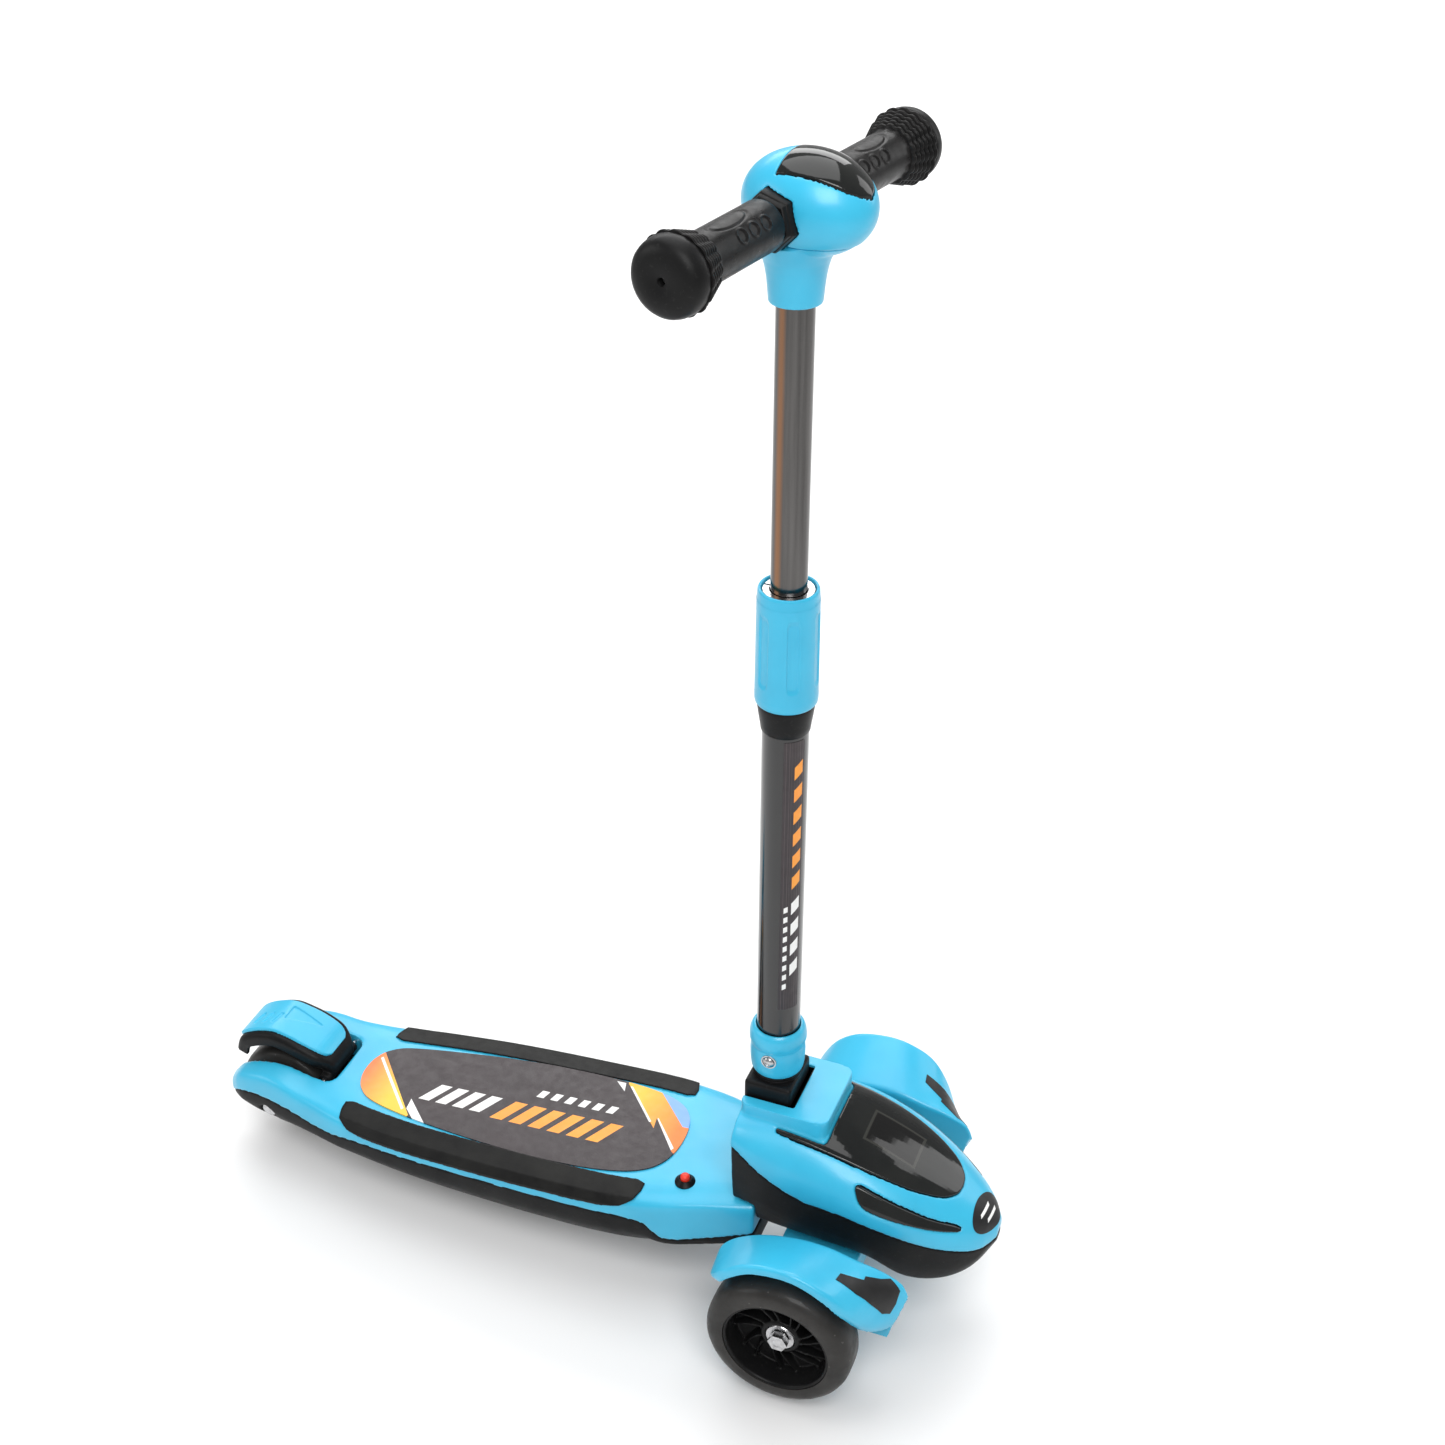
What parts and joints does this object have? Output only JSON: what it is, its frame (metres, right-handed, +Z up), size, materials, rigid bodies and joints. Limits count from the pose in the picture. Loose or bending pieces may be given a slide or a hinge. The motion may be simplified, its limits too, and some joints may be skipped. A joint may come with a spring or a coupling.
{
  "type": "kick scooter",
  "caption": "Child's kick scooter with a folding, height-adjustable stem, a lean-steered front truck with fenders, a lighted nose and a foot brake over the rear wheel.",
  "frame": {"origin": "centre of the bounding box's base, on the floor under the wheels", "axes": "+X towards the nose, +Y to the rider's left, +Z up along the stem"},
  "size_m": [0.6394, 0.2786, 0.8747],
  "materials": {
    "blue_plastic": "bright cyan-blue moulded ABS with a satin gloss",
    "black_plastic": "black moulded nylon, fine satin texture",
    "black_rubber": "soft black thermoplastic rubber, semi-matte",
    "tyre": "dark grey cast polyurethane, slightly translucent",
    "smoked_lens": "smoked polycarbonate, polished",
    "steel": "zinc-plated steel",
    "dark_chrome": "dark polished chrome on the telescoping tube",
    "gloss_black_paint": "gloss black enamel on a metal tube",
    "red_plastic": "red moulded push button",
    "circuit_board": "grey-green light board seen through the smoked window",
    "battery_wrap": "shrink-wrapped cells, inside the deck",
    "printed_mat": "printed plastic foot mat with a dark carbon-weave ground"
  },
  "bodies": {
    "deck": {"deck_top": "blue_plastic", "deck_hull": "black_plastic", "deck_mat": "printed_mat", "side_strip_left": "black_rubber", "side_strip_right": "black_rubber", "button_bezel": "black_plastic", "battery_pack": "battery_wrap", "battery_hatch": "black_plastic", "rear_axle": "steel", "brake_pin": "steel", "brake_spring": "steel", "shell_upper": "blue_plastic", "shell_lower": "black_plastic", "hood_window": "smoked_lens", "headlight_left": "smoked_lens", "headlight_right": "smoked_lens", "light_board": "circuit_board", "steer_pin": "steel", "steer_bush": "black_rubber", "fold_pin": "steel"},
    "light_button": {"light_button": "red_plastic"},
    "brake": {"brake_cover": "black_plastic", "brake_tread": "blue_plastic"},
    "rear_wheel": {"rear_tyre": "tyre", "rear_hub": "black_plastic", "rear_bearing_left": "steel", "rear_bearing_right": "steel"},
    "truck": {"truck_beam": "blue_plastic", "fender_left": "blue_plastic", "fender_right": "blue_plastic", "front_axle_left": "steel", "front_axle_right": "steel"},
    "front_wheel_left": {"front_tyre_left": "tyre", "front_hub_left": "black_plastic", "bearing_outer_left": "steel", "bearing_inner_left": "steel"},
    "front_wheel_right": {"front_tyre_right": "tyre", "front_hub_right": "black_plastic", "bearing_outer_right": "steel", "bearing_inner_right": "steel"},
    "stem": {"base_block": "black_plastic", "collar": "blue_plastic", "collar_bolt": "steel", "lower_tube": "gloss_black_paint", "clamp_ferrule": "black_plastic", "collet": "black_plastic"},
    "fold_release": {"fold_release": "black_plastic"},
    "clamp_sleeve": {"clamp_sleeve": "blue_plastic"},
    "riser": {"guide_bush": "black_plastic"},
    "handlebar": {"upper_tube": "dark_chrome", "handlebar_tube": "steel", "head_upper": "blue_plastic", "head_window": "smoked_lens", "head_lower": "blue_plastic", "hex_collar_left": "black_plastic", "hex_collar_right": "black_plastic", "grip_left": "black_rubber", "grip_right": "black_rubber", "grip_end_left": "black_plastic", "grip_end_right": "black_plastic"}
  },
  "joints": [
    {"name": "stem_fold", "type": "hinge", "parent": "deck", "child": "stem", "pos_m": [0.1452, 0, 0.15], "axis": [0, 1, 0], "range_deg": [-90, 0]},
    {"name": "fold_release_press", "type": "slide", "parent": "stem", "child": "fold_release", "axis": [1, 0, 0], "range_m": [0, 0.002], "stiffness_N_per_m": 400, "springref_m": -0.001},
    {"name": "clamp_twist", "type": "hinge", "parent": "stem", "child": "clamp_sleeve", "pos_m": [0.1452, 0, 0.555], "axis": [0, 0, 1], "range_deg": [0, 90]},
    {"name": "height_slide", "type": "slide", "parent": "stem", "child": "riser", "axis": [0, 0, 1], "range_m": [-0.18, 0]},
    {"name": "handlebar_swivel", "type": "hinge", "parent": "riser", "child": "handlebar", "pos_m": [0.1452, 0, 0.8], "axis": [0, 0, 1], "range_deg": [-19.2, 40.8]},
    {"name": "lean_steer", "type": "hinge", "parent": "deck", "child": "truck", "pos_m": [0.183, 0, 0.06], "axis": [0.6428, 0, 0.766], "range_deg": [-10, 10], "stiffness_Nm_per_rad": 8},
    {"name": "front_wheel_left_spin", "type": "hinge", "parent": "truck", "child": "front_wheel_left", "pos_m": [0.1933, 0.1145, 0.055], "axis": [0, 1, 0], "continuous": true},
    {"name": "front_wheel_right_spin", "type": "hinge", "parent": "truck", "child": "front_wheel_right", "pos_m": [0.1933, -0.1145, 0.055], "axis": [0, 1, 0], "continuous": true},
    {"name": "rear_wheel_spin", "type": "hinge", "parent": "deck", "child": "rear_wheel", "pos_m": [-0.2797, 0, 0.04], "axis": [0, 1, 0], "continuous": true},
    {"name": "rear_brake", "type": "hinge", "parent": "deck", "child": "brake", "pos_m": [-0.235, 0, 0.072], "axis": [0, 1, 0], "range_deg": [-8, 0], "stiffness_Nm_per_rad": 0.8, "springref_deg": 8.59},
    {"name": "light_button_press", "type": "slide", "parent": "deck", "child": "light_button", "axis": [0, 0, 1], "range_m": [-0.002, 0], "stiffness_N_per_m": 300, "springref_m": 0.001}
  ]
}
